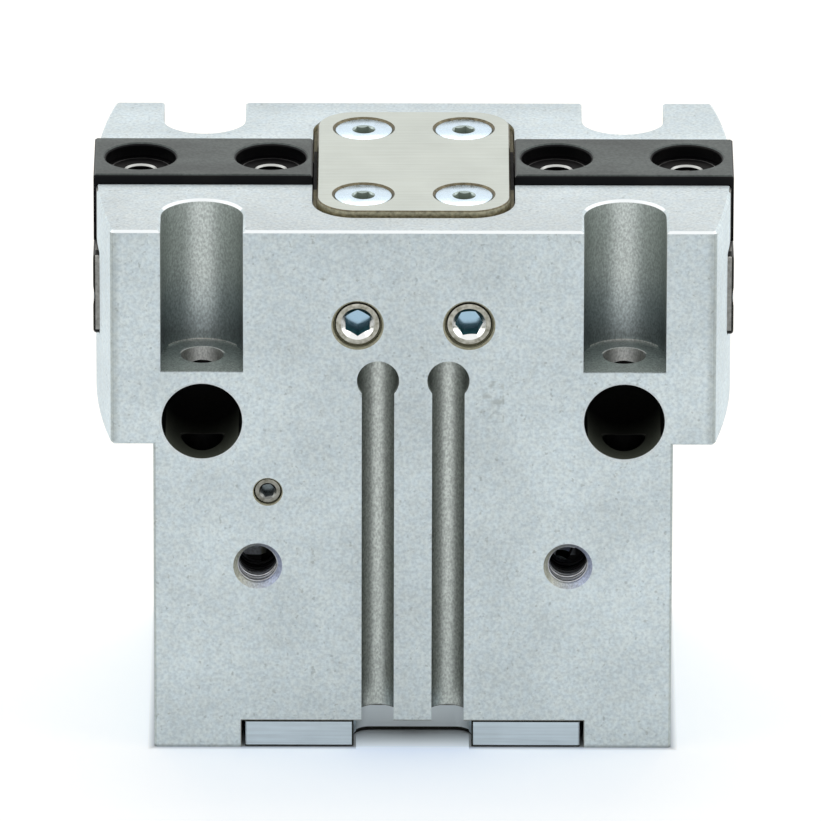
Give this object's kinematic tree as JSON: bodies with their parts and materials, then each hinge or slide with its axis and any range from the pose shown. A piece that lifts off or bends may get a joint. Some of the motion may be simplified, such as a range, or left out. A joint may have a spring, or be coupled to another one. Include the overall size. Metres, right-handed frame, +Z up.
{
  "type": "parallel gripper",
  "caption": "Pneumatic parallel gripper with sliding base jaws in a T-guide, wedge-hook piston drive, side-notched block housing, sensor slots and tapped air ports.",
  "frame": {"origin": "middle of the base, on the plane that the housing's two feet stand on", "axes": "+X along the jaw slide towards the right jaw as seen from the front, +Y from the front face with the sensor slots to the back, +Z up towards the jaws"},
  "size_m": [0.079, 0.0436, 0.0701],
  "materials": {
    "housing_aluminium": "light grey, blasted and anodised",
    "jaw_black": "satin charcoal-black coated steel",
    "cover_steel": "ground, warm beige",
    "zinc_screw": "zinc plated, slightly blue",
    "plug_zinc": "bright zinc",
    "side_steel": "plain rolled, grey-brown",
    "machined_aluminium": "smooth machined",
    "seal_rubber": "matte black",
    "band_plastic": "matte off-white",
    "magnet": "plain sintered",
    "ground_steel": "ground",
    "bush_bronze": "sintered bronze"
  },
  "bodies": {
    "body": {"housing": "housing_aluminium", "top_cover": "cover_steel", "top_cover_screws": "zinc_screw", "side_cover_left": "side_steel", "side_cover_right": "side_steel", "side_cover_screws": "zinc_screw", "bottom_cover": "machined_aluminium", "bottom_cover_screws": "zinc_screw", "bottom_cover_seal": "seal_rubber", "rod_bush": "bush_bronze", "rod_seal": "seal_rubber", "seal_retainer": "ground_steel", "purge_plugs": "plug_zinc", "duct_plug": "plug_zinc", "duct_ball": "ground_steel"},
    "drive": {"piston": "machined_aluminium", "piston_seal": "seal_rubber", "piston_guide_band": "band_plastic", "piston_magnets": "magnet", "piston_rod": "ground_steel", "wedge_hook": "ground_steel", "drive_screw": "zinc_screw"},
    "left_jaw": {"jaw_left": "jaw_black"},
    "right_jaw": {"jaw_right": "jaw_black"}
  },
  "joints": [
    {"name": "piston_slide", "type": "slide", "parent": "body", "child": "drive", "axis": [0, 0, 1], "range_m": [0, 0.01]},
    {"name": "left_jaw_slide", "type": "slide", "parent": "body", "child": "left_jaw", "axis": [-1, 0, 0], "range_m": [0, 0.006]},
    {"name": "right_jaw_slide", "type": "slide", "parent": "body", "child": "right_jaw", "axis": [1, 0, 0], "range_m": [0, 0.006]}
  ],
  "couplings": [
    {"joint": "left_jaw_slide", "follows": "piston_slide", "ratio": 0.6},
    {"joint": "right_jaw_slide", "follows": "piston_slide", "ratio": 0.6}
  ]
}
